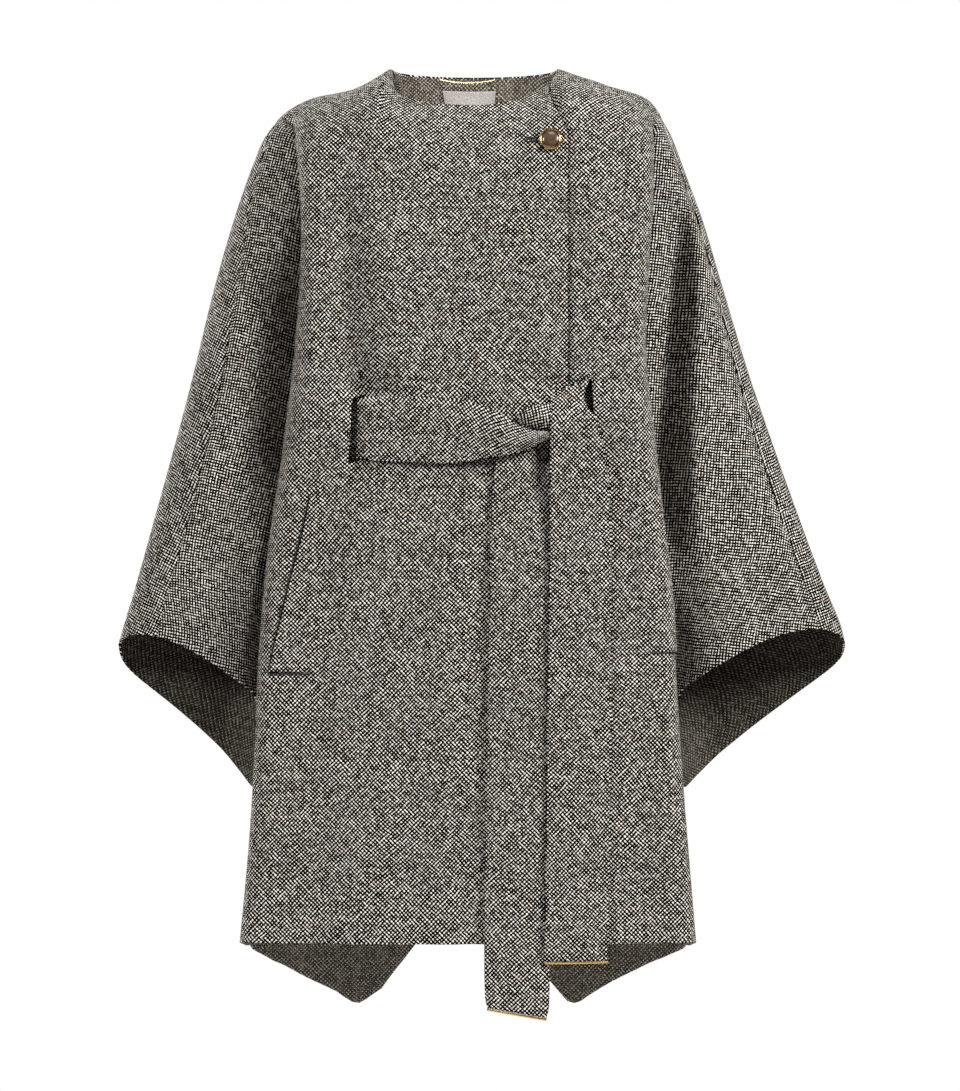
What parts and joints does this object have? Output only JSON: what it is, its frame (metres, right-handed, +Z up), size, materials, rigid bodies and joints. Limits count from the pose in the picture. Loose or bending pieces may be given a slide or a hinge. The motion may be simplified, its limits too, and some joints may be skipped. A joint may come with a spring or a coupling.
{
  "type": "belted wrap cape in tweed with wing sleeves",
  "caption": "Collarless tweed wrap cape with wide wing sleeves, tie belt through slits, slanted pocket welts, pointed back hem and a gold-rimmed button",
  "frame": {"origin": "middle of the neck opening, level with the two points where the shoulder seams meet the neckline, where the cape is held by a wearer", "axes": "+Z up along the length, -Y the front, +X the wearer's left"},
  "size_m": [0.7624, 0.2452, 0.993],
  "materials": {
    "tweed": "thick plain weave of black and cream wool yarns with small tan flecks, matt with a short nap",
    "brass": "polished gold-coloured metal, slightly worn",
    "horn": "glossy grey-brown set face",
    "ribbon": "fine pale woven tape, bare"
  },
  "bodies": {
    "root": {"front_right": "tweed", "front_left": "tweed", "back": "tweed", "sleeve_front_right": "tweed", "sleeve_front_left": "tweed", "sleeve_back_right": "tweed", "sleeve_back_left": "tweed", "welt_right": "tweed", "welt_left": "tweed", "belt_band": "tweed", "belt_loop": "tweed", "belt_return": "tweed", "belt_back": "tweed", "belt_tail_long": "tweed", "belt_tail_short": "tweed", "belt_bar_long": "brass", "belt_bar_short": "brass", "button_rim": "brass", "button_face": "horn", "hanger": "brass", "label": "ribbon"}
  },
  "joints": []
}
